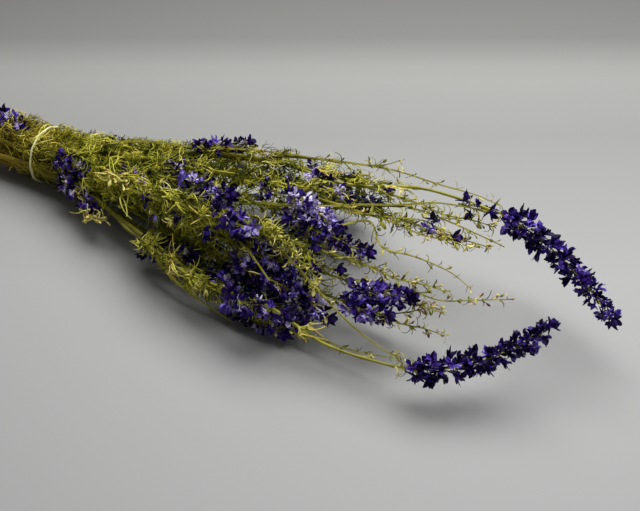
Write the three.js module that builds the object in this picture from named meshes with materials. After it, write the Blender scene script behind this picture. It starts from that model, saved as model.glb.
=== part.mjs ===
// A tied bunch of dried delphinium, lying on its side. Lengths are in millimetres.
//
// +X runs along the bunch from the cut ends to the flower tips, +Y runs across it and +Z is up.
// The origin is the middle of the underside of the bunch's box. While it is built, x = 0 is at the tie.
//
// The stems stand in lanes. A lane is a place in a hexagon of 37 round the bunch's middle, and it keeps that
// place from the cut ends to the tips, while the lanes draw apart past the tie. Stems in their own lanes never
// touch, whatever the sizes. Spikes are fatter than stems, so neighbouring lanes carry them at different
// distances along the bunch.
import * as THREE from 'three';

// ---- Driving dimensions ----
const bunchLength = 702; // from the cut ends to the tip of the longest spike
const tieToCutEnds = 95; // length of bare stem below the tie
const clearance = 0.4; // least gap between two pieces

const tiedPitch = 8; // between neighbouring lanes where they are tied
const spreadWidth = 206; // between the outermost lanes, side to side, where the bunch is widest
const spreadReach = 300; // from the tie to where the bunch is widest
const slump = 20; // how far the middle of the spread bunch leans to -Y

const stemDiameter = 4.4; // at the cut end
const stemTipDiameter = 2.4; // just under the spike
const cutStagger = 3; // step between the cut ends, which aren't level
const brokenStemReach = 150; // from the tie to the broken end of a stem that has lost its spike

const longSpikeDiameter = 30; // the two spikes that reach past the rest
const flowerSpikeDiameter = 25;
const flowerSpikeLength = 102;
const budSpikeDiameter = 13;
const budSpikeLength = 122;
const tierGap = 4; // along the bunch, between the spikes of one tier and the next

const leavesBelowTie = 55; // how far the leaf sprays reach towards the cut ends

const tieWidth = 2.6; // of the elastic band, along the stems
const tieThickness = 1.5;

// The two long spikes, one at the back and one at the front. Each leaves its lane in a bow, which is given
// across the bunch and up, at the bow's middle and at its end. Distances are measured back from the bunch's tip.
const longStalks = {
  back: { bowFrom: 256, spikeFrom: 130, tip: 0, across: [18, -33], up: [5, -30] },
  front: { bowFrom: 260, spikeFrom: 151, tip: 41, across: [-16, 64], up: [0, 27] },
};

// What each lane holds, from the top row down and from -Y to +Y in each row.
// F: stem with a flower spike, B: stem with a bud spike, S: broken stem, L: leaf spray,
// Q: the long stalk at the back, P: the long stalk at the front, and a dot for an empty lane.
const laneMap = [
  'F F B Q',
  'F B F F B',
  'L F S S F L',
  'F S B S S B F',
  'P F S S . L',
  'F B F . L',
  'F F L F',
];

// ---- Places along the bunch, measured from the tie ----
const cutEnds = -tieToCutEnds;
const tip = bunchLength - tieToCutEnds;
const budTier = tip - longStalks.back.spikeFrom - tierGap - budSpikeLength;
const upperFlowerTier = budTier - tierGap - flowerSpikeLength;
const lowerFlowerTier = upperFlowerTier - tierGap - flowerSpikeLength;

// ---- The lanes ----
const rowsFromMiddle = 3; // the hexagon's rows on each side of the middle one
const rowShare = Math.sqrt(3) / 2; // between the rows of a hexagonal packing, as a share of its pitch
const spreadRowPitch = flowerSpikeDiameter / 2 + clearance; // spikes two rows apart just clear each other
const ringInside = rowsFromMiddle * tiedPitch + tiedPitch / 2 + clearance; // the tie's inner radius

// From 0 at the tie to 1 where the bunch is widest.
function spreadShare(x) {
  return THREE.MathUtils.smoothstep(x, 0, spreadReach);
}

function betweenTieAndSpread(atTie, atSpread, x) {
  return THREE.MathUtils.lerp(atTie, atSpread, spreadShare(x));
}

// Between lanes of one row.
function columnPitch(x) {
  return betweenTieAndSpread(tiedPitch, spreadWidth / (2 * rowsFromMiddle), x);
}

function rowPitch(x) {
  return betweenTieAndSpread(rowShare * tiedPitch, spreadRowPitch, x);
}

// Between a lane and its nearest neighbour.
function laneGap(x) {
  return Math.min(columnPitch(x), Math.hypot(columnPitch(x) / 2, rowPitch(x)));
}

// The middle lane's height. The bunch rests on the tie and on the lowest flower spikes.
function middleHeight(x) {
  const overTie = ringInside + tieThickness;
  const overFlowers = rowsFromMiddle * spreadRowPitch + flowerSpikeDiameter / 2;
  return betweenTieAndSpread(overTie, overFlowers, x);
}

function laneCentre(lane, x) {
  const y = lane.column * columnPitch(x) - slump * spreadShare(x);
  const z = middleHeight(x) + lane.row * rowPitch(x);
  return new THREE.Vector3(x, y, z);
}

// A bow that is 0 at share 0, and has the given offsets at share 0.5 and at share 1.
function bow([middle, end], share) {
  return (4 * middle - end) * share + (2 * end - 4 * middle) * share * share;
}

// The line that runs along a lane, with a long stalk's bow where it has one.
class LaneLine extends THREE.Curve {
  constructor(lane, from, to) {
    super();
    Object.assign(this, { lane, from, to });
  }

  getPoint(share, target = new THREE.Vector3()) {
    const x = THREE.MathUtils.lerp(this.from, this.to, share);
    target.copy(laneCentre(this.lane, x));
    const { long } = this.lane;
    if (long) {
      const bowStart = tip - long.bowFrom;
      const bowShare = Math.max(0, (x - bowStart) / (tip - long.tip - bowStart));
      target.y += bow(long.across, bowShare);
      target.z += bow(long.up, bowShare);
    }
    return target;
  }
}

// ---- Shapes ----
// A closed bar along a line, with the radius that radiusAt gives for a share of the line and a place on it.
function barAlong(line, steps, sides, radiusAt) {
  const corners = Array.from({ length: sides }, (_, i) => {
    const angle = (2 * Math.PI * i) / sides;
    return new THREE.Vector2(Math.cos(angle), Math.sin(angle));
  });
  const bar = new THREE.ExtrudeGeometry(new THREE.Shape(corners), { steps, extrudePath: line });
  const centres = line.getSpacedPoints(steps);
  const position = bar.getAttribute('position');
  const point = new THREE.Vector3();
  for (let i = 0; i < position.count; i++) {
    point.fromBufferAttribute(position, i);
    const gaps = centres.map((centre) => centre.distanceToSquared(point));
    const ring = gaps.indexOf(Math.min(...gaps));
    const centre = centres[ring];
    point.sub(centre).multiplyScalar(radiusAt(ring / steps, centre.x)).add(centre);
    position.setXYZ(i, point.x, point.y, point.z);
  }
  return bar;
}

// Spikes of one tier are two rows apart, and a stem may pass in any neighbouring lane. Where the lanes are
// still close together they press a spike thinner.
function spikeRoom(x) {
  return Math.min(laneGap(x) - stemDiameter / 2 - clearance, rowPitch(x) - clearance);
}

// A spike starts thin on the stem, fills out and comes to a point.
function spikeGeometry(line, diameter, steps, sides) {
  return barAlong(line, steps, sides, (share, x) => {
    const fullness = 0.25 + 0.75 * Math.sqrt(Math.sin(Math.PI * share));
    const room = line.lane.long ? diameter / 2 : spikeRoom(x);
    return Math.min(diameter / 2, room) * fullness;
  });
}

function stemGeometry(line) {
  const tipShare = stemTipDiameter / stemDiameter;
  return barAlong(line, 8, 6, (share) => (stemDiameter / 2) * THREE.MathUtils.lerp(1, tipShare, share));
}

// A spray of fine leaves fills its lane, and thins out at both ends.
function leafSprayGeometry(line) {
  return barAlong(line, 6, 8, (share, x) => {
    const fullness = 0.3 + 0.7 * Math.sin(Math.PI * share);
    return ((laneGap(x) - clearance) / 2) * fullness;
  });
}

function tieGeometry() {
  const outline = new THREE.Shape().absarc(0, 0, ringInside + tieThickness, 0, 2 * Math.PI);
  outline.holes.push(new THREE.Path().absarc(0, 0, ringInside, 0, 2 * Math.PI));
  return new THREE.ExtrudeGeometry(outline, { depth: tieWidth, bevelEnabled: false, curveSegments: 40 });
}

// ---- Materials ----
function dry(color, roughness) {
  return new THREE.MeshStandardMaterial({ color, roughness, metalness: 0 });
}

const stemMaterial = dry(0x7f7c2c, 0.7);
const leafMaterial = dry(0x76802c, 0.8);
const flowerMaterial = dry(0x2f1f73, 0.75);
const budMaterial = dry(0x8f9440, 0.8);
const elasticMaterial = dry(0xe2dc9a, 0.5);

// ---- The bunch ----
const bunch = new THREE.Group();

function addPiece(name, geometry, material) {
  const piece = new THREE.Mesh(geometry, material);
  piece.name = name;
  bunch.add(piece);
  return piece;
}

function addStem(name, lane, cutEnd, end) {
  addPiece(name, stemGeometry(new LaneLine(lane, cutEnd, end)), stemMaterial);
}

// Neighbouring lanes are never of the same kind, so this decides the tier of a lane's spike.
function laneKind(lane) {
  const diagonal = lane.column - lane.row / 2;
  return THREE.MathUtils.euclideanModulo(diagonal - lane.row, 3);
}

function addFlowerStalk(number, lane, cutEnd) {
  const start = laneKind(lane) === 0 ? upperFlowerTier : lowerFlowerTier;
  const line = new LaneLine(lane, start, start + flowerSpikeLength);
  addStem(`stem_${number}`, lane, cutEnd, start - clearance);
  addPiece(`flower_spike_${number}`, spikeGeometry(line, flowerSpikeDiameter, 7, 8), flowerMaterial);
}

function addBudStalk(number, lane, cutEnd) {
  const line = new LaneLine(lane, budTier, budTier + budSpikeLength);
  addStem(`stem_${number}`, lane, cutEnd, budTier - clearance);
  addPiece(`bud_spike_${number}`, spikeGeometry(line, budSpikeDiameter, 6, 6), budMaterial);
}

function addLongStalk(side, lane, cutEnd) {
  lane.long = longStalks[side];
  const start = tip - lane.long.spikeFrom;
  const line = new LaneLine(lane, start, tip - lane.long.tip);
  addStem(`long_stem_${side}`, lane, cutEnd, start - clearance);
  addPiece(`long_flower_spike_${side}`, spikeGeometry(line, longSpikeDiameter, 9, 8), flowerMaterial);
}

function addLeafSpray(number, lane) {
  const line = new LaneLine(lane, -leavesBelowTie, lowerFlowerTier - tierGap);
  addPiece(`leaf_spray_${number}`, leafSprayGeometry(line), leafMaterial);
}

function addTie() {
  const tie = addPiece('elastic_tie', tieGeometry(), elasticMaterial);
  tie.rotation.y = Math.PI / 2;
  tie.position.set(-tieWidth / 2, 0, middleHeight(0));
}

let made = 0;
laneMap.forEach((marks, rowFromTop) => {
  const row = rowsFromMiddle - rowFromTop;
  const kinds = marks.split(' ');
  kinds.forEach((kind, place) => {
    if (kind === '.') return;
    made += 1;
    const lane = { row, column: place - (kinds.length - 1) / 2 };
    const number = String(made).padStart(2, '0');
    const cutEnd = cutEnds + cutStagger * (made % 4);
    if (kind === 'F') addFlowerStalk(number, lane, cutEnd);
    if (kind === 'B') addBudStalk(number, lane, cutEnd);
    if (kind === 'S') addStem(`stem_${number}`, lane, cutEnd, brokenStemReach);
    if (kind === 'L') addLeafSpray(number, lane);
    if (kind === 'Q') addLongStalk('back', lane, cutEnd);
    if (kind === 'P') addLongStalk('front', lane, cutEnd);
  });
});
addTie();

// The middle of the underside of the whole box becomes the origin.
const box = new THREE.Box3().setFromObject(bunch);
const middle = box.getCenter(new THREE.Vector3());
bunch.position.set(-middle.x, -middle.y, -box.min.z);

const part = new THREE.Group();
part.add(bunch);

export default part;
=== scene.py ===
import math
import random

import bmesh
import bpy
from mathutils import Matrix, Vector


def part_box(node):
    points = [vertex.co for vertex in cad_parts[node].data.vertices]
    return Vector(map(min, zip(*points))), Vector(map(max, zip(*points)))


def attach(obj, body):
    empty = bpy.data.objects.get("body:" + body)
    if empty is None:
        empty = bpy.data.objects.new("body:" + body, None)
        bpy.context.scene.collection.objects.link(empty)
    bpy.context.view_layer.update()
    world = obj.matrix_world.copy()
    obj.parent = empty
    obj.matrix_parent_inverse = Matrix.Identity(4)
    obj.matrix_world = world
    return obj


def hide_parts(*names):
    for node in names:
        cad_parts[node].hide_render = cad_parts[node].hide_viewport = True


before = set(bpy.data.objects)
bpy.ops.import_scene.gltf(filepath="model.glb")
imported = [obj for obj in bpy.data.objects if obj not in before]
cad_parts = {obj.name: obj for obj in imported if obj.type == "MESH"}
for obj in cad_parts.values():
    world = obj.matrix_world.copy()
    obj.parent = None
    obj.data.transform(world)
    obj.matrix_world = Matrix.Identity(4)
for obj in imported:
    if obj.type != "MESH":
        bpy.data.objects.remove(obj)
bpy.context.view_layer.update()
bpy.ops.object.select_all(action="DESELECT")

# ---- Stems ----
# Each stem is one hard, finely ribbed stalk that dried olive green, and golden brown towards its cut end. It
# swells where its leaves grew. The elastic tie presses the stems together, and past it they fan out.
MM = 0.001
X_AXIS = Vector((1, 0, 0))
Z_AXIS = Vector((0, 0, 1))
STEM_RIBS = 7
STEM_STEP = 7 * MM  # between the rings of a stem
JOINT_SPACING = 31 * MM
JOINT_SWELL = 0.32  # of the radius
JOINT_SHARE = 0.12  # of the joint spacing, along which a joint swells
RIB_DIP = 0.13  # of the radius
STEM_WAVE = 1.3 * MM  # how far a stem wanders off a straight course
SMOOTH_BELOW = math.radians(50)


def cad_rings(name):
    """The middle and the radius of each ring of a CAD bar, from its lower end to its tip."""
    bar = bmesh.new()
    bar.from_mesh(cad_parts[name].data)
    bmesh.ops.remove_doubles(bar, verts=bar.verts, dist=1e-6)
    bar.normal_update()
    bar.verts.index_update()
    ring = {v for face in bar.faces if face.normal.x < -0.8 for v in face.verts}
    done = set()
    rings = []
    while ring:
        ordered = sorted(ring, key=lambda v: v.index)
        middle = sum((v.co for v in ordered), Vector()) / len(ordered)
        radius = sum((v.co - middle).length for v in ordered) / len(ordered)
        rings.append((middle, radius))
        done |= ring
        ring = {edge.other_vert(v) for v in ordered for edge in v.link_edges} - done
    bar.free()
    return rings


def cad_line(name):
    """The middles of the rings of a CAD bar."""
    return [middle for middle, radius in cad_rings(name)]


def curve_through(points, share):
    """The place at a share, 0 to 1, of a smooth curve that runs through the points."""
    at = min(max(share, 0), 1) * (len(points) - 1)
    i = min(int(at), len(points) - 2)
    t = at - i
    before, start, end, after = (points[min(max(i + k, 0), len(points) - 1)] for k in (-1, 0, 1, 2))
    return 0.5 * (
        2 * start
        + (end - before) * t
        + (2 * before - 5 * start + 4 * end - after) * t**2
        + (3 * start - before - 3 * end + after) * t**3
    )


def heading(points, share):
    """The direction of that curve at a share."""
    return (curve_through(points, share + 0.01) - curve_through(points, share - 0.01)).normalized()


def curve_length(points):
    """The length of that curve, from one end to the other."""
    stations = [curve_through(points, k / 40) for k in range(41)]
    return sum((b - a).length for a, b in zip(stations, stations[1:]))


def pick(piece):
    """Selects one piece only and makes it the active one."""
    bpy.ops.object.select_all(action="DESELECT")
    piece.select_set(True)
    bpy.context.view_layer.objects.active = piece


def new_curve(name):
    """A curve with nothing in it yet."""
    bpy.ops.curve.primitive_nurbs_path_add()
    curve = bpy.context.object
    curve.name = name
    curve.data.splines.clear()
    return curve


def section_curve(name, outline):
    """A closed flat outline that tubes are drawn with. Its points are given for a radius of 1."""
    section = new_curve(name)
    section.data.dimensions = "2D"
    spline = section.data.splines.new("POLY")
    spline.points.add(len(outline) - 1)
    for place, (x, y) in zip(spline.points, outline):
        place.co = (x, y, 0, 1)
    spline.use_cyclic_u = True
    return section


def round_outline(corners, dip=0.0):
    """The corners of a circle, with every second one dipped in to make ribs."""
    outline = []
    for k in range(corners):
        angle = 2 * math.pi * k / corners
        radius = 1 - dip * (k % 2)
        outline.append((radius * math.cos(angle), radius * math.sin(angle)))
    return outline


def tubes(name, section, lines):
    """One mesh of closed tubes. Each line is a list of (place, radius)."""
    piece = new_curve(name)
    for line in lines:
        spline = piece.data.splines.new("POLY")
        spline.points.add(len(line) - 1)
        for point, (place, radius) in zip(spline.points, line):
            point.co = (*place, 1)
            point.radius = radius
    piece.data.twist_mode = "MINIMUM"
    piece.data.bevel_mode = "OBJECT"
    piece.data.bevel_object = section
    piece.data.use_fill_caps = True
    bpy.ops.object.convert(target="MESH")
    return bpy.context.object


def set_own(piece, value):
    """Gives each point of a piece one value, which its material reads as that copy's own tone."""
    mesh = piece.data
    own = mesh.attributes.get("own") or mesh.attributes.new("own", "FLOAT", "POINT")
    own.data.foreach_set("value", [value] * len(mesh.vertices))


def close_tubes(piece):
    """Merges the doubled points of the tubes' end caps and turns every face outwards."""
    pick(piece)
    bpy.ops.object.mode_set(mode="EDIT")
    bpy.ops.mesh.select_all(action="SELECT")
    bpy.ops.mesh.remove_doubles(threshold=1e-6)
    bpy.ops.mesh.normals_make_consistent(inside=False)
    bpy.ops.object.mode_set(mode="OBJECT")


def finish(piece, nodes=()):
    """The last steps of every piece: smooth faces and its place in the frame."""
    pick(piece)
    bpy.ops.object.shade_smooth_by_angle(angle=SMOOTH_BELOW)
    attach(piece, "root")
    if nodes:
        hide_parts(*nodes)
    return piece


def shader(name, roughness, specular):
    """A new material and its Principled shader."""
    material = bpy.data.materials.new(name)
    material.use_nodes = True
    surface = material.node_tree.nodes["Principled BSDF"]
    surface.inputs["Roughness"].default_value = roughness
    surface.inputs["Specular IOR Level"].default_value = specular
    return material, surface


def feed(tree, socket, value):
    """Gives an input its value, or links it to an output."""
    if isinstance(value, bpy.types.NodeSocket):
        tree.links.new(value, socket)
    else:
        socket.default_value = value


def add_node(tree, kind, **inputs):
    """A node of a material. Each of its inputs gets a value or an output."""
    node = tree.nodes.new(kind)
    for name, value in inputs.items():
        feed(tree, node.inputs[name.replace("_", " ")], value)
    return node


def ramp(tree, factor, stops):
    """A colour ramp driven by a factor. Each stop is (place, (red, green, blue)) in linear light."""
    node = add_node(tree, "ShaderNodeValToRGB", Fac=factor)
    elements = node.color_ramp.elements
    while len(elements) < len(stops):
        elements.new(0.5)
    for element, (place, colour) in zip(elements, stops):
        element.position = place
        element.color = (*colour, 1)
    return node.outputs["Color"]


def own_tone(tree):
    """The value that set_own gave to each copy."""
    node = tree.nodes.new("ShaderNodeAttribute")
    node.attribute_name = "own"
    return node.outputs["Fac"]


# Dried plant tissue is mottled: this gives soft blotches and fine specks over a piece.
mottle = bpy.data.node_groups.new("dry_mottle", "ShaderNodeTree")
for socket, side in (
    ("Blotch Scale", "INPUT"),
    ("Speck Scale", "INPUT"),
    ("Blotches", "OUTPUT"),
    ("Specks", "OUTPUT"),
):
    mottle.interface.new_socket(socket, in_out=side, socket_type="NodeSocketFloat")
mottle_in = mottle.nodes.new("NodeGroupInput")
mottle_out = mottle.nodes.new("NodeGroupOutput")
mottle_place = mottle.nodes.new("ShaderNodeTexCoord")
for scale_name, result_name in (("Blotch Scale", "Blotches"), ("Speck Scale", "Specks")):
    place, scale = mottle_place.outputs["Object"], mottle_in.outputs[scale_name]
    cloud = add_node(mottle, "ShaderNodeTexNoise", Vector=place, Scale=scale)
    mottle.links.new(cloud.outputs["Fac"], mottle_out.inputs[result_name])


def add_mottle(tree, blotch_scale, speck_scale):
    """The mottle in a material. A larger scale makes smaller blotches or specks."""
    node = tree.nodes.new("ShaderNodeGroup")
    node.node_tree = mottle
    feed(tree, node.inputs["Blotch Scale"], blotch_scale)
    feed(tree, node.inputs["Speck Scale"], speck_scale)
    return node


def add_bump(tree, surface, height, distance, strength):
    """Roughens a surface by a mask."""
    node = add_node(tree, "ShaderNodeBump", Strength=strength, Distance=distance, Height=height)
    tree.links.new(node.outputs["Normal"], surface.inputs["Normal"])


def mottled(name, roughness, specular, scales, bump, stops=()):
    """A new material with mottle and fine bumps. The stops, if any, colour it by its blotches.
    It gives the material, its surface, its tree and the mottle."""
    material, surface = shader(name, roughness, specular)
    tree = material.node_tree
    node = add_mottle(tree, *scales)
    add_bump(tree, surface, node.outputs["Specks"], *bump)
    if stops:
        feed(tree, surface.inputs["Base Color"], ramp(tree, node.outputs["Blotches"], stops))
    return material, surface, tree, node


def mix(tree, kind, factor, first, second):
    """Mixes two colours."""
    node = tree.nodes.new("ShaderNodeMix")
    node.data_type = "RGBA"
    node.blend_type = kind
    for index, value in ((0, factor), (6, first), (7, second)):
        feed(tree, node.inputs[index], value)
    return node.outputs[2]


def add(tree, first, second, share):
    """first + second x share, for masks."""
    node = tree.nodes.new("ShaderNodeMath")
    node.operation = "MULTIPLY_ADD"
    for socket, value in zip(node.inputs, (second, share, first)):
        feed(tree, socket, value)
    return node.outputs["Value"]


def distance_along(tree, axis):
    """How far each place of a piece is along an axis."""
    place = tree.nodes.new("ShaderNodeTexCoord")
    return add_node(tree, "ShaderNodeSeparateXYZ", Vector=place.outputs["Object"]).outputs[axis]


def lower_share(tree, start, end):
    """A value that rises from 0 to 1 between two distances along the bunch, towards the cut ends."""
    x = distance_along(tree, "X")
    return add_node(tree, "ShaderNodeMapRange", From_Min=start, From_Max=end, Value=x).outputs["Result"]


# Olive green, straw where the skin has faded, golden brown towards the cut ends, with fine specks.
stem_material, stem_surface, stem_tree, stem_mottle = mottled(
    "dried_stem", roughness=0.55, specular=0.2, scales=(55, 900), bump=(0.0004, 0.6)
)
stem_tone = add(stem_tree, own_tone(stem_tree), stem_mottle.outputs["Blotches"], 0.6)
stem_colour = ramp(
    stem_tree,
    stem_tone,
    [
        (0.25, (0.100, 0.088, 0.007)),
        (0.45, (0.250, 0.230, 0.016)),
        (0.65, (0.450, 0.420, 0.055)),
        (0.85, (0.330, 0.170, 0.012)),
    ],
)
stem_colour = mix(stem_tree, "MULTIPLY", 0.5, stem_colour, stem_mottle.outputs["Specks"])
stem_golden = lower_share(stem_tree, -0.22, -0.36)
stem_colour = mix(stem_tree, "MIX", stem_golden, stem_colour, (0.42, 0.265, 0.026, 1))
stem_tree.links.new(stem_colour, stem_surface.inputs["Base Color"])

# The cut end shows the pale, dry pith inside the skin.
pith_stops = [(0.35, (0.28, 0.19, 0.07)), (0.65, (0.62, 0.53, 0.30))]
pith_material = mottled("stem_pith", 0.85, 0.2, scales=(900, 2500), bump=(0.0003, 0.8), stops=pith_stops)[0]

stem_section = section_curve("stem_section", round_outline(2 * STEM_RIBS, dip=RIB_DIP))
stem_names = sorted(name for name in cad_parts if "stem" in name)
stem_random = random.Random(11)
stem_lines = {}


def wandering(rings, rng):
    """A stem's line: it follows the CAD bar, and wanders a little between its two ends."""
    points = [middle for middle, radius in rings]
    length = curve_length(points)
    count = max(8, round(length / STEM_STEP))
    turns = rng.uniform(2.2, 4.0)
    phases = [rng.uniform(0, 2 * math.pi) for _ in range(2)]
    line = []
    for k in range(count + 1):
        share = k / count
        room = math.sin(math.pi * share) * STEM_WAVE
        place = curve_through(points, share)
        place.y += room * math.sin(turns * 2 * math.pi * share + phases[0])
        place.z += room * math.sin(turns * 1.7 * math.pi * share + phases[1])
        line.append(place)
    return line


for name in stem_names:
    rings = cad_rings(name)
    line = wandering(rings, stem_random)
    stem_lines[name] = line
    thick, thin = rings[0][1], rings[-1][1]
    joint_shift = stem_random.uniform(0, JOINT_SPACING)
    stations = []
    for k, place in enumerate(line):
        along = k * STEM_STEP
        to_joint = abs((along + joint_shift) % JOINT_SPACING - JOINT_SPACING / 2)
        swell = 1 + JOINT_SWELL * math.exp(-((to_joint / (JOINT_SHARE * JOINT_SPACING)) ** 2))
        share = k / (len(line) - 1)
        stations.append((place, (thick + (thin - thick) * share) * swell))
    stem = tubes(f"ribbed_{name}", stem_section, [stations])
    close_tubes(stem)
    set_own(stem, 0.25 if name.startswith("long") else stem_random.uniform(0, 0.4))
    stem.data.materials.append(stem_material)
    stem.data.materials.append(pith_material)
    for face in stem.data.polygons:
        face.material_index = int(face.normal.x < -0.9 and face.center.x < line[0].x + 1 * MM)
    finish(stem, [name])

# ---- Leaves ----
# The leaves are divided into soft threads, and they curled up and turned from green to straw as they dried.
# They grow on the stems and lie along the bunch as a dense fluff that hides most of the stems.
THREAD_RADIUS = 0.68 * MM
LEAF_SIZE = 36 * MM
LEAF_KINDS = 8
LEAF_SPACING = 15 * MM
TIE_HALF = 5 * MM  # leaves are pressed flat under the tie over this distance to each side of it
FLUFF = 5 * MM  # how far the leaves stand out from the bunch
OPEN_BY = 300 * MM  # past the tie, where the bunch is widest
OPEN_WIDE = 76 * MM  # how far it has spread there to each side
OPEN_HIGH = 20 * MM  # and how far up and down
OPEN_FORWARD = 20 * MM  # how far its middle has moved there to the front
OPEN_UP = 21 * MM  # and how far up
BARE_FROM_MIDDLE = 8 * MM  # in front of the middle, where the leaves have come off
BARE_TO = 170 * MM  # past the tie
BARE_SHARE = 0.92  # of the leaves there
tie_low, tie_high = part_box("elastic_tie")
tie_middle = (tie_low + tie_high) / 2
TIE_INSIDE = (tie_high.z - tie_low.z) / 2 - 1.9 * MM
leaf_random = random.Random(23)


def turned(direction, rng, most):
    """A direction turned by up to the given angle about a random axis across it."""
    across = direction.orthogonal().normalized()
    across.rotate(Matrix.Rotation(rng.uniform(0, 2 * math.pi), 3, direction))
    return Matrix.Rotation(rng.uniform(0.3, 1) * most, 3, across) @ direction


def thread(start, direction, length, curl, steps, radius, rng):
    """A line that starts at a place and curls as it goes, with the radius shrinking to its tip."""
    across = direction.orthogonal().normalized()
    across.rotate(Matrix.Rotation(rng.uniform(0, 2 * math.pi), 3, direction))
    line = [(start, radius)]
    place = start
    for k in range(steps):
        direction = Matrix.Rotation(curl / steps, 3, across) @ direction
        across = (across + 0.35 * turned(across, rng, 1.5)).normalized()
        across = (across - direction * across.dot(direction)).normalized()
        place = place + direction * length / steps
        line.append((place, radius * (1 - 0.5 * (k + 1) / steps)))
    return line


def leaf_lines(rng, size, curl):
    """The threads of one leaf that grows along +X: a short stalk, three parts, and threads from each."""
    lines = [thread(Vector(), X_AXIS, 0.2 * size, 0.3, 2, 1.15 * THREAD_RADIUS, rng)]
    fork = lines[0][-1][0]
    for side in (-1, 0, 1):
        part_direction = Matrix.Rotation(0.6 * side + rng.uniform(-0.15, 0.15), 3, "Z") @ X_AXIS
        part = thread(fork, turned(part_direction, rng, 0.4), 0.3 * size, 0.9, 3, THREAD_RADIUS, rng)
        lines.append(part)
        for spread in (-1, 0, 1):
            direction = Matrix.Rotation(0.6 * spread + rng.uniform(-0.2, 0.2), 3, "Z") @ part_direction
            tip_length = rng.uniform(0.35, 0.65) * size
            tip_curl = rng.choice((-1, 1)) * rng.uniform(0.5, 1.0) * curl
            start = part[2 + (spread == 0)][0]
            direction = turned(direction, rng, 0.5)
            lines.append(thread(start, direction, tip_length, tip_curl, 5, 0.9 * THREAD_RADIUS, rng))
    return lines


def placed(origin, along, out, scale):
    """A matrix that puts a copy at a place, its +X along one direction and its +Z towards another."""
    along = along.normalized()
    across = out.cross(along).normalized()
    out = along.cross(across)
    turn = Matrix((along, across, out)).transposed()
    return Matrix.Translation(origin) @ turn.to_4x4() @ Matrix.Diagonal((scale, scale, scale, 1))


def copy_at(template, place, own):
    """A copy with its own mesh, put in place in that mesh."""
    piece = template.copy()
    piece.data = template.data.copy()
    piece.data.transform(place)
    set_own(piece, own)
    bpy.context.collection.objects.link(piece)
    return piece


def lift(piece, floor=0.3 * MM):
    """Raises a copy that would reach below the surface that the bunch lies on."""
    lowest = min(v.co.z for v in piece.data.vertices)
    if lowest < floor:
        piece.data.transform(Matrix.Translation((0, 0, floor - lowest)))
    return piece


def joined(name, copies):
    """Joins copies into one piece, with its place in its mesh."""
    bpy.ops.object.select_all(action="DESELECT")
    for piece in copies:
        piece.select_set(True)
    bpy.context.view_layer.objects.active = copies[0]
    bpy.ops.object.join()
    piece = bpy.context.object
    piece.name = name
    return piece


def discard(templates):
    """Deletes what was there only to be copied or to draw with."""
    for template in templates:
        bpy.data.objects.remove(template)


def opened(x):
    """How far the bunch has opened at a distance along it: 0 at the tie, 1 where it is widest."""
    share = min(max((x - tie_middle.x) / OPEN_BY, 0), 1)
    return share * share * (3 - 2 * share)


def bunch_middle(x):
    """The middle of the bunch at a distance along it."""
    return Vector((x, tie_middle.y - OPEN_FORWARD * opened(x), tie_middle.z + OPEN_UP * opened(x)))


def tuck(piece):
    """Draws in the leaves that stand out of the bunch, and presses them under the tie."""
    for vertex in piece.data.vertices:
        place = vertex.co
        off = place - bunch_middle(place.x)
        loose = FLUFF * (1 - math.exp(-(((place.x - tie_middle.x) / TIE_HALF) ** 2)))
        wide = TIE_INSIDE + loose + OPEN_WIDE * opened(place.x)
        high = TIE_INSIDE + loose + OPEN_HIGH * opened(place.x)
        out = math.hypot(off.y / wide, off.z / high)
        if out > 1:
            shrink = (1 + 0.3 * (out - 1) * (loose > 3 * MM)) / out
            place.y += off.y * (shrink - 1)
            place.z += off.z * (shrink - 1)


leaf_material, leaf_surface, leaf_tree, leaf_mottle = mottled(
    "dried_leaf", roughness=0.65, specular=0.15, scales=(80, 1200), bump=(0.0002, 0.4)
)
leaf_tone = add(leaf_tree, own_tone(leaf_tree), leaf_mottle.outputs["Blotches"], 0.7)
leaf_colour = ramp(
    leaf_tree,
    leaf_tone,
    [
        (0.34, (0.022, 0.028, 0.002)),
        (0.50, (0.140, 0.150, 0.007)),
        (0.70, (0.500, 0.480, 0.036)),
        (0.88, (0.700, 0.640, 0.170)),
        (0.98, (0.520, 0.340, 0.040)),
    ],
)
leaf_golden = lower_share(leaf_tree, -0.19, -0.46)
leaf_colour = mix(leaf_tree, "MIX", leaf_golden, leaf_colour, (0.46, 0.330, 0.045, 1))
leaf_tree.links.new(leaf_colour, leaf_surface.inputs["Base Color"])

thread_section = section_curve("thread_section", round_outline(3))
leaf_kinds = []
for k in range(LEAF_KINDS):
    kind = tubes("leaf_kind", thread_section, leaf_lines(leaf_random, LEAF_SIZE, 0.6 + 0.28 * k))
    close_tubes(kind)
    kind.data.materials.append(leaf_material)
    leaf_kinds.append(kind)


def is_bare(place):
    """The stems along the lower front of the bunch have lost most of their leaves."""
    off = place - bunch_middle(place.x)
    height = 0.7 if place.x < tie_middle.x + 60 * MM else 0.25
    in_front = off.y < -BARE_FROM_MIDDLE and off.z < -height * off.y
    return in_front and place.x < tie_middle.x + BARE_TO


def depth_share(place):
    """Where a place is between the middle of the bunch, 0, and its outside, 1."""
    off = place - bunch_middle(place.x)
    wide = TIE_INSIDE + OPEN_WIDE * opened(place.x)
    high = TIE_INSIDE + OPEN_HIGH * opened(place.x)
    return min(math.hypot(off.y / wide, off.z / high), 1)


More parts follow.
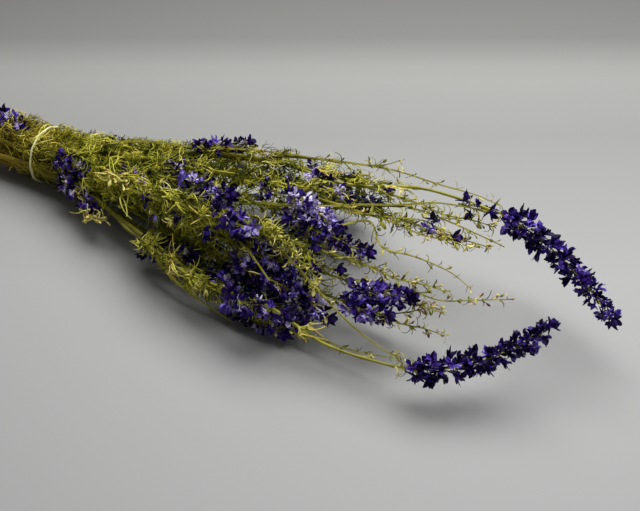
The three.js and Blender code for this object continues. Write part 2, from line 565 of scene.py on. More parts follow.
def leaf_on(line, share, spread):
    """A leaf that grows from a stem's line, outwards and towards the tips."""
    place = curve_through(line, share)
    along = heading(line, share)
    out = place - bunch_middle(place.x)
    out = (out - along * out.dot(along)).normalized()
    out = Matrix.Rotation(leaf_random.uniform(-1.5, 1.5), 3, along) @ out
    lean = leaf_random.uniform(0.1, 0.9) * spread
    direction = along * math.cos(lean) + out * math.sin(lean)
    scale = leaf_random.uniform(0.6, 1.15)
    kind = leaf_kinds[leaf_random.randrange(LEAF_KINDS)]
    face = Matrix.Rotation(leaf_random.uniform(-1.5, 1.5), 3, direction) @ out
    # Leaves deeper inside the bunch get a lower own tone and so a darker colour. This is painted shade in
    # the gaps between the stems, on top of tones that differ at random.
    own = 0.6 * leaf_random.random() ** 1.2 * (0.25 + 0.75 * depth_share(place))
    return lift(copy_at(kind, placed(place, direction, face, scale), own))


leaf_nodes = sorted(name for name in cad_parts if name.startswith("leaf_spray"))
LEAFY_FROM = tie_middle.x - 64 * MM
LEAFY_TO = tie_middle.x + 370 * MM
STEMS_TO_A_PIECE = 5


def grow_leaves(line, per_joint):
    """Leaves along a stem, thinning out towards the flowers."""
    copies = []
    length = curve_length(line)
    for k in range(int(length / LEAF_SPACING)):
        share = (k + leaf_random.uniform(0, 1)) * LEAF_SPACING / length
        place = curve_through(line, min(share, 1))
        reach = (place.x - LEAFY_FROM) / (LEAFY_TO - LEAFY_FROM)
        if share > 1 or not 0 < reach < 1 or leaf_random.random() < 0.6 * (reach - 0.6):
            continue
        depth = depth_share(place)
        hidden = depth < 0.5 and reach < 0.45
        if hidden or depth > 0.8 and reach > 0.55 and leaf_random.random() < 0.35:
            continue
        for _ in range(per_joint + (0.4 < reach < 0.95)):
            leaf = leaf_on(line, share, 0.3 + 0.65 * reach)
            middle = sum((v.co for v in leaf.data.vertices), Vector()) / len(leaf.data.vertices)
            if is_bare(middle) and leaf_random.random() < BARE_SHARE:
                discard([leaf])
            else:
                copies.append(leaf)
    return copies


# The sprays with a solid of their own in the frame, and then the leaves of the stems, five stems to a piece.
for name in leaf_nodes:
    spray = joined(f"thread_leaves_{name[-2:]}", grow_leaves(cad_line(name), 3))
    tuck(spray)
    finish(spray, [name])
for first in range(0, len(stem_names), STEMS_TO_A_PIECE):
    copies = []
    for name in stem_names[first : first + STEMS_TO_A_PIECE]:
        copies += grow_leaves(stem_lines[name], 2)
    spray = joined(f"stem_leaves_{first // STEMS_TO_A_PIECE + 1:02}", copies)
    tuck(spray)
    finish(spray)

# ---- Florets ----
# A floret has five crumpled, papery sepals round smaller ones and a few pale petals, a long spur behind, and
# a short stalk. Most dried to a deep violet, and the oldest ones faded to lilac strips.
SEPAL_LENGTH = 11.5 * MM
SEPAL_WIDTH = 6.5 * MM
SEPAL_THICK = 0.5 * MM
SPUR_LENGTH = 10 * MM
STALK_LENGTH = 7 * MM
floret_random = random.Random(5)
flower_material, flower_surface, flower_tree, flower_mottle = mottled(
    "dried_sepal", roughness=0.42, specular=0.15, scales=(170, 1500), bump=(0.0004, 0.7)
)
heart_stops = [(0.35, (0.30, 0.25, 0.50)), (0.5, (0.70, 0.66, 0.74)), (0.62, (0.80, 0.76, 0.45))]
heart_material = mottled(
    "pale_petal", 0.7, 0.2, scales=(300, 1500), bump=(0.0003, 0.5), stops=heart_stops
)[0]
stalk_section = section_curve("stalk_section", round_outline(4))
crumple_texture = bpy.data.textures.new("crumple", "CLOUDS")
crumple_texture.noise_scale = 3.4 * MM


def apply_modifiers(piece):
    """Applies all modifiers of a piece, in their order."""
    pick(piece)
    for modifier in list(piece.modifiers):
        bpy.ops.object.modifier_apply(modifier=modifier.name)


def scale_rings(piece, lowest, highest, size):
    """In edit mode: scales the points of a piece between two heights about its own axis."""
    mesh = bmesh.from_edit_mesh(piece.data)
    for vertex in mesh.verts:
        vertex.select_set(lowest < vertex.co.z < highest)
    mesh.select_flush_mode()
    bmesh.update_edit_mesh(piece.data)
    bpy.ops.transform.resize(value=size, center_override=(0, 0, 0))


def bend(piece, axis, angle, method="BEND"):
    """Bends or twists a piece about an axis of its own."""
    modifier = piece.modifiers.new("bend", "SIMPLE_DEFORM")
    modifier.deform_method = method
    modifier.deform_axis = axis
    modifier.angle = angle


def sepal_kind(index, cup, curl, twist):
    """One crumpled sepal with its foot at the origin and its tip on +Z. Its inner side faces +Y."""
    bpy.ops.mesh.primitive_uv_sphere_add(segments=6, ring_count=6, radius=0.5)
    sepal = bpy.context.object
    bpy.ops.object.mode_set(mode="EDIT")
    bpy.ops.transform.resize(value=(SEPAL_WIDTH, SEPAL_THICK, SEPAL_LENGTH))
    bpy.ops.transform.translate(value=(0, 0, SEPAL_LENGTH / 2))
    scale_rings(sepal, -1, 0.3 * SEPAL_LENGTH, (0.6, 1, 1))
    scale_rings(sepal, 0.8 * SEPAL_LENGTH, 1, (0.75, 1, 1))
    bpy.ops.object.mode_set(mode="OBJECT")
    bend(sepal, "Z", cup)
    bend(sepal, "X", curl)
    bend(sepal, "Z", twist, "TWIST")
    wrinkle = sepal.modifiers.new("wrinkle", "DISPLACE")
    wrinkle.texture = crumple_texture
    wrinkle.texture_coords = "GLOBAL"
    wrinkle.direction = "Y"
    wrinkle.strength = 5.5 * MM
    sepal.location.x = 0.05 * index
    apply_modifiers(sepal)
    sepal.location.x = 0
    foot = min(sepal.data.vertices, key=lambda v: v.co.z).co.copy()
    sepal.data.transform(Matrix.Translation(-foot))
    sepal.data.materials.append(flower_material)
    return sepal


sepal_kinds = [
    sepal_kind(1, cup=0.9, curl=-0.7, twist=0.2),
    sepal_kind(2, cup=1.5, curl=0.5, twist=-0.5),
    sepal_kind(3, cup=-0.9, curl=0.9, twist=0.6),
    sepal_kind(4, cup=2.2, curl=-0.2, twist=0.9),
    sepal_kind(5, cup=1.2, curl=1.3, twist=-0.2),
    sepal_kind(6, cup=0.5, curl=-1.2, twist=-0.9),
]


def floret_kind(opening, ragged, narrow, inner, pale):
    """A floret on its stalk, facing +Z. The stem it grows on runs along +X through the origin."""
    pieces = []
    seat = Vector((0.35 * STALK_LENGTH, 0, 0.8 * STALK_LENGTH))
    facing = Matrix.Rotation(floret_random.uniform(-0.3, 0.6), 4, "Y")
    facing = facing @ Matrix.Rotation(floret_random.uniform(-0.5, 0.5), 4, "X")
    facing = Matrix.Translation(seat) @ facing
    for k in range(5):
        turn = Matrix.Rotation(2 * math.pi * k / 5 + floret_random.uniform(-0.3, 0.3), 4, "Z")
        lean = Matrix.Rotation(opening + floret_random.uniform(-ragged, ragged), 4, "X")
        roll = Matrix.Rotation(floret_random.uniform(-0.7, 0.7), 4, "Z")
        size = floret_random.uniform(0.78, 1.12)
        scale = Matrix.Diagonal((size * narrow * floret_random.uniform(0.8, 1.15), size, size, 1))
        kind = sepal_kinds[floret_random.randrange(len(sepal_kinds))]
        pieces.append(copy_at(kind, facing @ turn @ lean @ roll @ scale, 0))
    for k in range(inner):
        turn = Matrix.Rotation(2 * math.pi * (k + 0.5) / inner + floret_random.uniform(-0.4, 0.4), 4, "Z")
        lean = Matrix.Rotation(0.45 * opening + floret_random.uniform(-0.2, 0.3), 4, "X")
        size = floret_random.uniform(0.6, 0.85)
        scale = Matrix.Diagonal((size * narrow * 0.75, size, size, 1))
        kind = sepal_kinds[floret_random.randrange(len(sepal_kinds))]
        pieces.append(copy_at(kind, facing @ turn @ lean @ scale, 0))
    for k in range(pale):
        turn = Matrix.Rotation(2 * math.pi * k / pale + floret_random.uniform(-0.4, 0.4), 4, "Z")
        lean = Matrix.Rotation(floret_random.uniform(0.15, 0.6), 4, "X")
        small = Matrix.Diagonal((0.35, 0.6, 0.55, 1))
        petal = copy_at(sepal_kinds[k], facing @ turn @ lean @ small, 0)
        petal.data.materials[0] = heart_material
        pieces.append(petal)
    bpy.ops.mesh.primitive_cone_add(vertices=5, radius1=1.5 * MM, radius2=0.4 * MM, depth=SPUR_LENGTH)
    spur = bpy.context.object
    spur.data.transform(Matrix.Translation((0, 0, SPUR_LENGTH / 2)))
    spur.data.transform(facing @ Matrix.Rotation(floret_random.uniform(-2.4, -1.9), 4, "Y"))
    spur.data.materials.append(flower_material)
    stalk_line = [(Vector(), 0.55 * MM), (seat * 0.5, 0.5 * MM), (seat, 0.7 * MM)]
    stalk = tubes("stalk", stalk_section, [stalk_line])
    close_tubes(stalk)
    stalk.data.materials.append(leaf_material)
    pieces += [spur, stalk]
    for piece in pieces:
        set_own(piece, 0)
    return joined("floret_kind", pieces)


closed_florets = [floret_kind(0.25 + 0.12 * k, 0.2, narrow=0.95, inner=0, pale=0) for k in range(3)]
pale_petals = (0, 0, 2, 0, 0, 3, 0)
open_florets = [
    floret_kind(0.6 + 0.12 * k, 0.4, narrow=1, inner=4, pale=pale) for k, pale in enumerate(pale_petals)
]
faded_florets = [floret_kind(0.7 + 0.2 * k, 0.5, narrow=0.5, inner=4, pale=2) for k in range(4)]


def veins(tree):
    """Streaks that run from the foot of a sepal to its tip, and how far along the sepal they are."""
    place = tree.nodes.new("ShaderNodeUVMap")
    place.uv_map = "UVMap"
    stretch = add_node(tree, "ShaderNodeMapping", Vector=place.outputs["UV"], Scale=(26, 1.6, 1))
    shift = add_node(tree, "ShaderNodeCombineXYZ", Z=own_tone(tree))
    feed(tree, stretch.inputs["Rotation"], shift.outputs["Vector"])
    streaks = add_node(
        tree, "ShaderNodeTexNoise", Vector=stretch.outputs["Vector"], Scale=1.0, Detail=1.0
    )
    split = add_node(tree, "ShaderNodeSeparateXYZ", Vector=place.outputs["UV"])
    return streaks.outputs["Fac"], split.outputs["Y"]


flower_tone = add(flower_tree, own_tone(flower_tree), flower_mottle.outputs["Blotches"], 0.66)
flower_veins, flower_length = veins(flower_tree)
flower_tone = add(flower_tree, flower_tone, flower_veins, 0.42)
flower_tone = add(flower_tree, flower_tone, flower_length, -0.05)
flower_colour = ramp(
    flower_tree,
    flower_tone,
    [
        (0.40, (0.004, 0.001, 0.016)),
        (0.61, (0.010, 0.002, 0.055)),
        (0.77, (0.038, 0.012, 0.240)),
        (0.90, (0.190, 0.115, 0.580)),
        (1.00, (0.670, 0.610, 0.860)),
    ],
)
flower_tree.links.new(flower_colour, flower_surface.inputs["Base Color"])

# ---- Buds, pods and bracts ----
# What grows where a shoot has no florets: small oval buds and three-lobed seed pods on short stalks, and
# narrow bracts and leaflets that curled. They dried yellow-green, and the oldest ones went brown.
bud_random = random.Random(41)
bud_material, bud_surface, bud_tree, bud_mottle = mottled(
    "dried_bud", roughness=0.6, specular=0.3, scales=(260, 1500), bump=(0.0003, 0.5)
)
bud_tone = add(bud_tree, own_tone(bud_tree), bud_mottle.outputs["Blotches"], 0.8)
bud_colour = ramp(
    bud_tree,
    bud_tone,
    [
        (0.32, (0.110, 0.120, 0.010)),
        (0.55, (0.320, 0.310, 0.030)),
        (0.78, (0.760, 0.680, 0.220)),
        (0.90, (0.420, 0.240, 0.030)),
        (0.98, (0.090, 0.045, 0.035)),
    ],
)
bud_tree.links.new(bud_colour, bud_surface.inputs["Base Color"])


def oval(length, width, place):
    """A closed bud or one lobe of a pod: an egg that narrows to its tip on +Z."""
    bpy.ops.mesh.primitive_uv_sphere_add(segments=6, ring_count=5, radius=0.5)
    egg = bpy.context.object
    bpy.ops.object.mode_set(mode="EDIT")
    bpy.ops.transform.resize(value=(width, width, length))
    bpy.ops.transform.translate(value=(0, 0, length / 2))
    scale_rings(egg, 0.7 * length, 1, (0.6, 0.6, 1))
    bpy.ops.object.mode_set(mode="OBJECT")
    egg.data.transform(place)
    return egg


def green_kind(lines, eggs):
    """Joins the threads and the eggs of a kind, in the dried bud's material."""
    threads = tubes("threads", thread_section, lines)
    close_tubes(threads)
    kind = joined("green_kind", [threads] + eggs)
    kind.data.materials.append(bud_material)
    return kind


def bract_threads(count):
    """The lines of narrow curled bracts that grow from the origin, forwards and outwards."""
    lines = []
    for k in range(count):
        turn = Matrix.Rotation(bud_random.uniform(-1.2, 1.2), 3, "X")
        direction = turn @ Vector((1, 0, bud_random.uniform(0.4, 1.3))).normalized()
        length = bud_random.uniform(8, 19) * MM
        curl = bud_random.choice((-1, 1)) * bud_random.uniform(0.6, 2.8)
        lines.append(thread(Vector(), direction, length, curl, 5, 0.75 * MM, bud_random))
    return lines


def bud_kind(length, width):
    """An oval bud on a curved stalk, on a stem that runs along +X."""
    seat = Vector((4.5 * MM, 0, 3.2 * MM)) * bud_random.uniform(0.7, 1.2)
    lean = Matrix.Rotation(bud_random.uniform(0.3, 1.2), 4, "Y")
    stalk = [(Vector(), 0.6 * MM), (seat * 0.6 + Vector((0, 0, 0.5 * MM)), 0.5 * MM), (seat, 0.7 * MM)]
    return green_kind([stalk] + bract_threads(1), [oval(length, width, Matrix.Translation(seat) @ lean)])


def pod_kind(length):
    """A seed pod of three lobes that part at their tips."""
    seat = Vector((4 * MM, 0, 4 * MM))
    lean = Matrix.Rotation(bud_random.uniform(0.2, 0.9), 4, "Y")
    eggs = []
    for k in range(3):
        turn = Matrix.Rotation(2 * math.pi * k / 3, 4, "Z")
        part = Matrix.Translation((0.9 * MM, 0, 0)) @ Matrix.Rotation(0.16, 4, "Y")
        eggs.append(oval(length, 2.4 * MM, Matrix.Translation(seat) @ lean @ turn @ part))
    return green_kind([[(Vector(), 0.6 * MM), (seat * 0.6, 0.5 * MM), (seat, 0.8 * MM)]], eggs)


def leaflet_kind():
    """Three narrow, flat leaflets that curled as they dried, on a stem that runs along +X."""
    flats = []
    for k in range(3):
        turn = Matrix.Rotation(bud_random.uniform(-1.3, 1.3), 4, "X")
        lean = Matrix.Rotation(bud_random.uniform(0.4, 1.1), 4, "Y")
        size = bud_random.uniform(0.7, 1.3)
        shape = Matrix.Diagonal((0.34, 1, size, 1))
        face = Matrix.Rotation(bud_random.uniform(-1.5, 1.5), 4, "Z")
        kind = sepal_kinds[bud_random.randrange(len(sepal_kinds))]
        flat = copy_at(kind, turn @ lean @ face @ shape, 0)
        flat.data.materials.clear()
        flats.append(flat)
    return green_kind(bract_threads(1), flats)


buds = [bud_kind(bud_random.uniform(3.5, 6.5) * MM, bud_random.uniform(2.2, 3.4) * MM) for _ in range(5)]
pods = [pod_kind(bud_random.uniform(7, 10) * MM) for _ in range(2)]
bracts = [green_kind(bract_threads(2), []) for _ in range(3)] + [leaflet_kind() for _ in range(5)]
discard(sepal_kinds)

# ---- Flower spikes ----
# The upper end of a flowering stem: florets in a spiral all round a stalk, smaller towards the tip. Many
# spikes have shed some florets, and there the stalk keeps bracts, buds and seed pods.
GOLDEN_ANGLE = math.radians(137.5)
STALK_STEP = 5 * MM  # between the rings of a stalk
# The range of own tones for a group of copies.
DARK = (0.0, 0.31)
VIOLET = (0.0, 0.42)
PALE = (0.4, 0.74)
CREAM = (0.32, 0.42)
GREEN = (0.0, 0.42)
LEAF_GREEN = (0.0, 0.26)
BROWN = (0.45, 0.75)
shoot_random = random.Random(77)


def shoot(name, line, groups, slot, nodes=(), thick=1.3, wave=0.0, sag=0.0):
    """A stalk with what grows on it. Each group is (kinds, how many, from share, to share, size, tones).
    The stalk wanders and sags off its line by the given millimetres."""
    length = curve_length(line)
    steps = max(6, round(length / STALK_STEP))
    stations = []
    for k in range(steps + 1):
        share = k / steps
        drift = wave * MM * math.sin(math.pi * share)
        place = curve_through(line, share)
        place.y += drift * math.sin(9 * share + len(name))
        place.z += drift * math.cos(7 * share) - sag * MM * math.sin(math.pi * share)
        place.z = max(place.z, thick * MM)
        stations.append((place, thick * (1 - 0.65 * share) * MM))
    stalk = tubes("stalk", stalk_section, [stations])
    close_tubes(stalk)
    set_own(stalk, shoot_random.uniform(0.2, 0.4))
    stalk.data.materials.append(stem_material)
    course = [place for place, radius in stations]
    copies = [stalk]
    for kinds, count, start, end, size, tones in groups:
        for k in range(count):
            share = start + (end - start) * (k + shoot_random.uniform(0.1, 0.9)) / count
            place = curve_through(course, share)
            along = heading(course, share)
            side = (Z_AXIS - along * along.z).normalized()
            turn = GOLDEN_ANGLE * k + shoot_random.uniform(-0.4, 0.4)
            out = Matrix.Rotation(turn, 3, along) @ side
            scale = size * (1 - 0.35 * share**2) * shoot_random.uniform(0.82, 1.12)
            own = tones[0] + (tones[1] - tones[0]) * shoot_random.random() ** 1.5
            kind = kinds[shoot_random.randrange(len(kinds))]
            copies.append(lift(copy_at(kind, placed(place, along, out, scale), own)))
    if slot == "flower":
        along = heading(course, 1)
        tip = placed(course[-1] - along * 6 * MM, (Z_AXIS - along * along.z).normalized(), along, 1)
        copies.append(copy_at(open_florets[0], tip, 0.1))
    return finish(joined(name, copies), nodes)


LEADER_BACK = [
    (open_florets, 7, 0.05, 0.13, 1.0, DARK),
    (open_florets, 5, 0.2, 0.3, 0.85, DARK),
    (open_florets, 23, 0.3, 0.86, 1.0, DARK),
    (open_florets, 5, 0.9, 0.98, 0.95, DARK),
    (closed_florets, 24, 0.08, 0.98, 1.1, DARK),
    (bracts, 9, 0.0, 0.2, 0.7, GREEN),
    (bracts, 6, 0.2, 0.9, 0.5, GREEN),
]
LEADER_FRONT = [
    (open_florets, 5, 0.09, 0.16, 0.85, DARK),
    (open_florets, 6, 0.19, 0.3, 0.9, DARK),
    (open_florets, 22, 0.34, 0.82, 1.0, DARK),
    (open_florets, 9, 0.82, 0.97, 1.05, DARK),
    (closed_florets, 24, 0.14, 0.97, 1.1, DARK),
    (bracts, 10, 0.0, 0.14, 0.8, GREEN),
    (bracts, 5, 0.2, 0.9, 0.5, GREEN),
]
FULL = [
    (open_florets, 20, 0.0, 1.0, 0.95, VIOLET),
    (closed_florets, 6, 0.3, 1.0, 0.9, DARK),
    (faded_florets, 4, 0.2, 0.9, 0.9, PALE),
    (leaf_kinds, 6, 0.0, 0.8, 0.6, LEAF_GREEN),
]
UPPER = [
    (leaf_kinds, 8, 0.0, 0.7, 0.7, LEAF_GREEN),
    (pods, 3, 0.0, 0.4, 0.8, GREEN),
    (open_florets, 14, 0.4, 1.0, 1.0, VIOLET),
    (faded_florets, 4, 0.45, 0.9, 0.9, PALE),
]
LOWER = [
    (open_florets, 10, 0.0, 0.45, 0.95, VIOLET),
    (leaf_kinds, 9, 0.3, 1.0, 0.65, LEAF_GREEN),
    (buds, 8, 0.45, 1.0, 1.0, GREEN),
]
SHED = [
    (leaf_kinds, 12, 0.0, 0.9, 0.7, LEAF_GREEN),
    (bracts, 6, 0.4, 1.0, 1.0, GREEN),
    (pods, 4, 0.0, 0.7, 0.8, GREEN),
    (buds, 6, 0.4, 1.0, 1.0, GREEN),
    (open_florets, 4, 0.1, 0.8, 0.85, VIOLET),
]
spike_groups = {
    "01": LOWER,
    "02": UPPER,
    "05": SHED,
    "07": UPPER,
    "08": LOWER,
    "11": UPPER,
    "14": SHED,
    "16": UPPER,
    "22": SHED,
    "24": FULL,
    "28": UPPER,
    "30": SHED,
    "32": FULL,
    "33": SHED,
    "35": FULL,
    "back": LEADER_BACK,
    "front": LEADER_FRONT,
}
for name in sorted(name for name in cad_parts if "flower_spike" in name):
    groups = spike_groups[name.rsplit("_", 1)[-1]]
    wave = 0 if name.startswith("long") else 2.5
    sag = 8 if name.endswith("front") else 0
    shoot(f"florets_{name}", cad_line(name), groups, "flower", [name], wave=wave, sag=sag)

# ---- Bud spikes ----
# Thin upper ends that had not opened: buds and curled bracts on a stalk that wanders. A few leaves grow on
# its lower half.
BUDDING = [
    (bracts, 13, 0.0, 1.0, 1.0, GREEN),
    (leaf_kinds, 4, 0.0, 0.5, 0.55, LEAF_GREEN),
    (buds, 11, 0.1, 1.0, 1.0, GREEN),
    (buds, 3, 0.7, 0.95, 1.2, (0.3, 0.7)),
]
for name in sorted(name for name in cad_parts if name.startswith("bud_spike")):
    shoot(f"buds_{name}", cad_line(name), BUDDING, "bud", [name], thick=1.5, wave=4)

# ---- Side shoots ----
# Shorter shoots branch off the stems between the main spikes. Some carry a cluster of florets, others have
# leaflets, buds and pods, and a few are nearly bare. Each is given by a few points of its course.


def from_tie(points):
    """Points in millimetres from the tie: along the bunch, across it, and up from the surface."""
    return [Vector((tie_middle.x + x * MM, tie_middle.y + y * MM, z * MM)) for x, y, z in points]


def cluster(flowers, faded=0, green=4, size=0.9):
    """Florets packed on a side shoot."""
    return [
        (open_florets, flowers, 0.0, 1.0, size, VIOLET),
        (closed_florets, flowers // 2, 0.2, 1.0, size, DARK),
        (faded_florets, faded, 0.1, 1.0, size, PALE),
        (bracts, green, 0.0, 1.0, 0.9, GREEN),
        (buds, 2, 0.1, 0.9, 1.0, CREAM),
    ]


def twig(leafy, budding, podded=0, dark=0):
    """Leaflets, buds and pods on a side shoot."""
    return [
        (bracts, leafy, 0.05, 1.0, 0.8, GREEN),
        (buds, budding, 0.15, 1.0, 1.0, GREEN),
        (pods, podded, 0.4, 1.0, 0.7, GREEN),
        (buds, dark, 0.75, 1.0, 1.25, BROWN),
    ]


def leaves(count):
    """Leaves all along a side shoot."""
    return [(leaf_kinds, count, 0.0, 1.0, 0.85, LEAF_GREEN)]


# Each side shoot is its name, its slot, the thickness of its stalk, what grows on it, and its course.
SIDE_SHOOTS = [
    ("cluster_at_cut_ends", "flower", 1.3, cluster(10, 2, 2), (-58, 3, 55), (-44, 1, 56), (-28, -3, 55)),
    ("cluster_at_tie", "flower", 1.3, cluster(15, 1, 3), (30, -20, 48), (47, -24, 51), (68, -27, 50)),
    ("cluster_low_at_tie", "flower", 1.3, cluster(9, 7), (40, -31, 38), (64, -41, 33), (92, -54, 30)),
    (
        "cream_buds", "bud", 1.3, [(buds, 10, 0.1, 1.0, 1.3, CREAM)],
        (82, -60, 30), (98, -65, 29), (114, -63, 31),
    ),
    (
        "yellow_buds", "bud", 1.3, [(buds, 8, 0.2, 1.0, 1.4, CREAM)],
        (102, -42, 70), (116, -45, 71), (134, -49, 70),
    ),
    ("cluster_on_top", "flower", 1.3, cluster(8, 3, 6), (152, -4, 67), (172, -6, 71), (198, -8, 71)),
    ("spike_on_top", "flower", 1.3, cluster(15, 1, 3, 0.78), (170, 23, 79), (193, 32, 84), (216, 43, 87)),
    ("cluster_upper", "flower", 1.3, cluster(17, 3), (214, -32, 76), (240, -48, 80), (274, -70, 76)),
    ("cluster_middle", "flower", 1.3, cluster(7, 1), (250, 4, 78), (270, -8, 82), (292, -6, 84)),
    ("cluster_back", "flower", 1.3, cluster(11, 1), (300, 20, 90), (318, 16, 93), (344, 8, 88)),
    ("cluster_pale", "flower", 1.3, cluster(8, 18), (296, -18, 92), (326, -26, 96), (352, -36, 88)),
    ("cluster_large", "flower", 1.3, cluster(19, 2), (316, -40, 84), (352, -42, 86), (388, -42, 80)),
    ("cluster_front", "flower", 1.3, cluster(20, 3), (272, -84, 50), (312, -88, 54), (348, -86, 44)),
    ("cluster_front_low", "flower", 1.3, cluster(20, 4), (262, -92, 34), (304, -101, 28), (352, -98, 22)),
    ("cluster_front_tip", "flower", 1.3, cluster(10, 5), (330, -80, 52), (352, -84, 40), (372, -86, 30)),
    ("cluster_on_floor", "flower", 1.3, cluster(20, 3), (256, -92, 24), (294, -102, 15), (338, -106, 12)),
    (
        "cluster_right", "flower", 1.3, cluster(18, 2, 4, 1.0),
        (392, -74, 58), (414, -68, 62), (440, -59, 61),
    ),
    ("cluster_right_low", "flower", 1.3, cluster(13, 2), (388, -88, 57), (408, -87, 55), (428, -82, 52)),
    ("cluster_low_edge", "flower", 1.3, cluster(7, 1), (160, -72, 26), (186, -76, 24), (220, -74, 34)),
    ("cluster_in_leaves", "flower", 1.3, cluster(6, 0, 6), (118, -34, 62), (142, -30, 64), (166, -36, 62)),
    ("florets_by_leader", "flower", 1.3, cluster(3), (438, 47, 93), (453, 47, 93), (468, 48, 92)),
    (
        "drooping_twig", "flower", 1.3,
        [
            (open_florets, 4, 0.6, 0.75, 0.9, VIOLET),
            (buds, 6, 0.75, 1.0, 1.3, (0.3, 0.75)),
            (bracts, 3, 0.2, 0.9, 0.8, GREEN),
        ],
        (352, -8, 90), (372, -3, 90), (393, 6, 89), (416, 20, 84), (430, 20, 80), (446, 18, 77),
    ),
    (
        "twig_middle", "bud", 1.3, twig(10, 7),
        (352, -23, 85), (370, 2, 78), (393, -19, 72), (423, -13, 68), (457, -11, 62), (483, -19, 57),
    ),
    (
        "twig_low_middle", "bud", 1.3, twig(10, 6, 1, 4),
        (383, -63, 62), (407, -52, 60), (434, -46, 58), (462, -42, 54), (489, -25, 52), (517, -6, 50),
    ),
    (
        "twig_pods", "bud", 1.3, twig(2, 2, 0, 8),
        (385, -84, 46), (415, -80, 48), (440, -64, 48), (458, -46, 49),
    ),
    (
        "twig_upper", "bud", 1.6, twig(14, 8),
        (250, 36, 90), (285, 40, 97), (317, 43, 102), (346, 49, 103), (374, 55, 102), (414, 58, 99),
        (448, 63, 96), (474, 61, 94),
    ),
    (
        "twig_upper_inner", "bud", 1.6, twig(9, 6),
        (361, 6, 91), (391, 19, 92), (414, 25, 90), (439, 27, 86), (468, 29, 80), (492, 31, 74),
    ),
    (
        "twig_low", "bud", 1.3, twig(9, 4),
        (330, -100, 14), (354, -105, 16), (376, -105, 20), (407, -110, 26), (437, -110, 32),
        (463, -109, 38),
    ),
    (
        "side_stem_to_leader", "stem", 1.7,
        [
            (leaf_kinds, 7, 0.05, 0.5, 0.5, LEAF_GREEN),
            (bracts, 12, 0.1, 0.6, 1.0, GREEN),
            (pods, 4, 0.15, 0.45, 0.7, GREEN),
            (bracts, 7, 0.9, 1.0, 0.8, GREEN),
        ],
        (250, -52, 76), (290, -62, 82), (341, -82, 72), (368, -93, 64), (405, -107, 54),
        (439, -115, 47), (456, -115, 44),
    ),
    (
        "side_stem_to_back_leader", "stem", 2.1, twig(5, 2),
        (270, -24, 82), (300, -20, 86), (333, -7, 89), (361, 6, 92), (392, 19, 94), (423, 36, 96),
        (474, 50, 94),
    ),
    (
        "buds_over_clusters", "bud", 1.5,
        [
            (buds, 22, 0.0, 1.0, 0.95, GREEN),
            (bracts, 10, 0.0, 1.0, 0.8, GREEN),
        ],
        (300, -62, 89), (322, -74, 90), (345, -86, 86), (368, -96, 82),
    ),
    ("cluster_behind", "flower", 1.3, cluster(16, 3, 6), (190, 52, 36), (220, 62, 38), (254, 68, 36)),
    ("cluster_behind_low", "flower", 1.3, cluster(16, 3, 6), (250, 72, 22), (286, 80, 24), (322, 82, 22)),
    ("cluster_behind_tip", "flower", 1.3, cluster(13, 3, 6), (286, 66, 38), (314, 72, 40), (342, 72, 38)),
    ("cluster_behind_tie", "flower", 1.3, cluster(7, 1, 4), (54, 28, 40), (74, 33, 42), (98, 37, 42)),
    ("leaves_inside", "bud", 1.3, leaves(11), (222, -18, 66), (262, -22, 75), (304, -16, 80)),
    ("leaves_inside_low", "bud", 1.3, leaves(11), (250, -44, 60), (296, -50, 68), (336, -52, 72)),
    ("leaves_inside_back", "bud", 1.3, leaves(10), (262, 30, 62), (304, 22, 72), (342, 10, 76)),
    ("sprig_top", "bud", 1.0, twig(3, 1), (340, 49, 102), (359, 53, 106), (371, 62, 110)),
    (
        "side_stem_low", "stem", 2.0, twig(2, 0),
        (176, -78, 28), (206, -94, 22), (232, -102, 17), (256, -106, 12), (284, -109, 6),
    ),
    (
        "side_stem_middle", "stem", 1.7, twig(3, 0),
        (180, -56, 78), (200, -60, 82), (243, -68, 78), (290, -76, 68),
    ),
    (
        "side_stem_inner", "stem", 2.1, twig(5, 0),
        (90, -38, 60), (134, -49, 67), (219, -63, 77), (251, -68, 76), (285, -80, 73), (322, -102, 66),
    ),
    (
        "side_stem_top", "stem", 2.1,
        [
            (leaf_kinds, 6, 0.4, 1.0, 0.6, LEAF_GREEN),
            (bracts, 6, 0.4, 1.0, 0.9, GREEN),
        ],
        (62, 4, 58), (102, 15, 71), (168, 22, 82), (220, 32, 90), (270, 38, 97), (317, 42, 101),
    ),
]
for name, slot, thick, groups, *course in SIDE_SHOOTS:
    shoot(name, from_tie(course), groups, slot, thick=thick)

# ---- Elastic tie ----
# A thin cream rubber band, stretched round the stems where they are pressed together. It runs over the outer
# stems and sinks a little between them.
BAND_TURNS = 96
BAND_HALF = [(1.3, -0.35), (1.3, 0.35), (0.9, 0.7), (-0.9, 0.7)]  # mm, half of the outline of its section
band_stops = [(0.35, (0.66, 0.62, 0.28)), (0.65, (0.86, 0.84, 0.52))]
band_material = mottled("elastic", 0.4, 0.4, scales=(120, 1800), bump=(0.0001, 0.5), stops=band_stops)[0]
band_section = section_curve("band_section", BAND_HALF + [(-x, -y) for x, y in BAND_HALF])
band = new_curve("elastic_band")
loop = band.data.splines.new("POLY")
loop.points.add(BAND_TURNS - 1)
for k, point in enumerate(loop.points):
    angle = 2 * math.pi * k / BAND_TURNS
    radius = TIE_INSIDE + (1.15 + 0.35 * math.sin(11 * angle) + 0.2 * math.sin(4 * angle)) * MM
    shift = 0.9 * MM * math.sin(2 * angle)
    point.co = (
        tie_middle.x + shift,
        tie_middle.y + radius * math.cos(angle),
        max(tie_middle.z + radius * math.sin(angle), 1.2 * MM),
        1,
    )
    point.radius = MM
    point.tilt = math.pi / 2
loop.use_cyclic_u = True
band.data.twist_mode = "Z_UP"
band.data.bevel_mode = "OBJECT"
band.data.bevel_object = band_section
bpy.ops.object.convert(target="MESH")
band = bpy.context.object
close_tubes(band)
band.data.materials.append(band_material)
finish(band, ["elastic_tie"])

discard([stem_section, thread_section, stalk_section, band_section])
discard(leaf_kinds + closed_florets + open_florets + faded_florets + buds + pods + bracts)
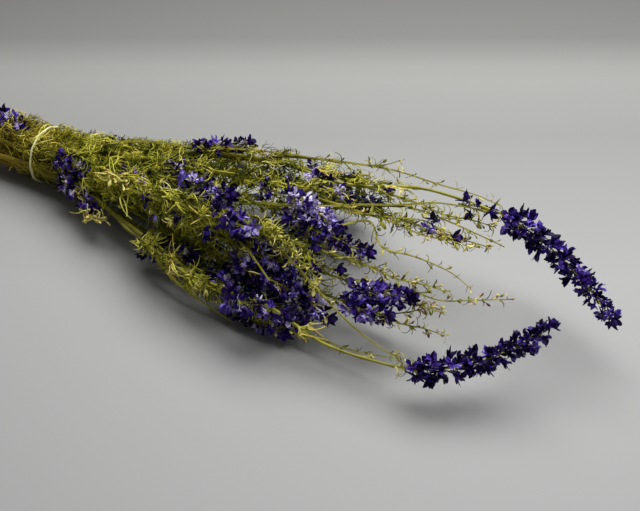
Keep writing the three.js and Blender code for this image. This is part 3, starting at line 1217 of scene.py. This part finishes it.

# ---- Camera, floor and light ----
# The bunch lies on a plain pale sheet. Its colour is painted shade: lighter near the bunch and darker
# further back, with a painted lighter band between. This stands in for the light and shade of a backdrop
# that curves up. One large soft lamp hangs over it, a little behind it.
CAMERA_DISTANCE = 1.4
CAMERA_LENS = 83
LAMP_PLACE = Vector((0.12, 0.46, 1.2))
LAMP_TARGET = Vector((0.05, 0, 0))
LAMP_WATTS = 35
ROOM_LIGHT = 0.11
FLOOR_TONE = 0.31
# Painted shading of the floor, by distance behind the bunch: painted shade further back and a painted
# highlight band.
FLOOR_PAINTED_SHADING = [
    (0.00, 1.04, 1.03),
    (0.12, 0.92, 0.90),
    (0.24, 0.81, 0.79),
    (0.345, 0.87, 0.84),
    (0.375, 0.83, 0.80),
    (0.44, 0.56, 0.54),
    (0.52, 0.50, 0.48),
]  # each is metres behind the bunch, the share of the tone, and the share of its blue
camera_turn = math.radians(28)
camera_height = math.radians(40)
look_at = Vector((tie_middle.x + 0.325, tie_middle.y - 0.012, 0.03))
back = Vector(
    (
        math.sin(camera_turn) * math.cos(camera_height),
        -math.cos(camera_turn) * math.cos(camera_height),
        math.sin(camera_height),
    )
)
bpy.ops.object.camera_add(location=look_at + back * CAMERA_DISTANCE)
camera = bpy.context.object
camera.rotation_euler = back.to_track_quat("Z", "Y").to_euler()
camera.data.lens = CAMERA_LENS
camera.data.clip_start = 0.01
bpy.context.scene.camera = camera

bpy.ops.mesh.primitive_plane_add(size=6, location=(look_at.x, look_at.y, 0), rotation=(0, 0, camera_turn))
floor = bpy.context.object
floor.name = "floor"
floor_material, floor_surface = shader("floor_paper_painted_shade", roughness=0.6, specular=0.3)
floor_tree = floor_material.node_tree
floor_shading_stops = [
    (place, (shade * FLOOR_TONE, shade * FLOOR_TONE, blue * FLOOR_TONE))
    for place, shade, blue in FLOOR_PAINTED_SHADING
]
# The floor's colour carries the painted shade and the painted highlight band.
floor_painted_shading = ramp(floor_tree, distance_along(floor_tree, "Y"), floor_shading_stops)
floor_tree.links.new(floor_painted_shading, floor_surface.inputs["Base Color"])
floor.data.materials.append(floor_material)

bpy.ops.object.light_add(type="AREA", location=LAMP_PLACE)
lamp = bpy.context.object
lamp.data.shape = "RECTANGLE"
lamp.data.size = 1.6
lamp.data.size_y = 1.2
lamp.data.energy = LAMP_WATTS
lamp.rotation_euler = (lamp.location - LAMP_TARGET).to_track_quat("Z", "Y").to_euler()

world = bpy.data.worlds.new("room")
bpy.context.scene.world = world
world.use_nodes = True
background = world.node_tree.nodes["Background"]
background.inputs["Color"].default_value = (1, 1, 1, 1)
background.inputs["Strength"].default_value = ROOM_LIGHT
bpy.context.scene.view_settings.view_transform = "Standard"
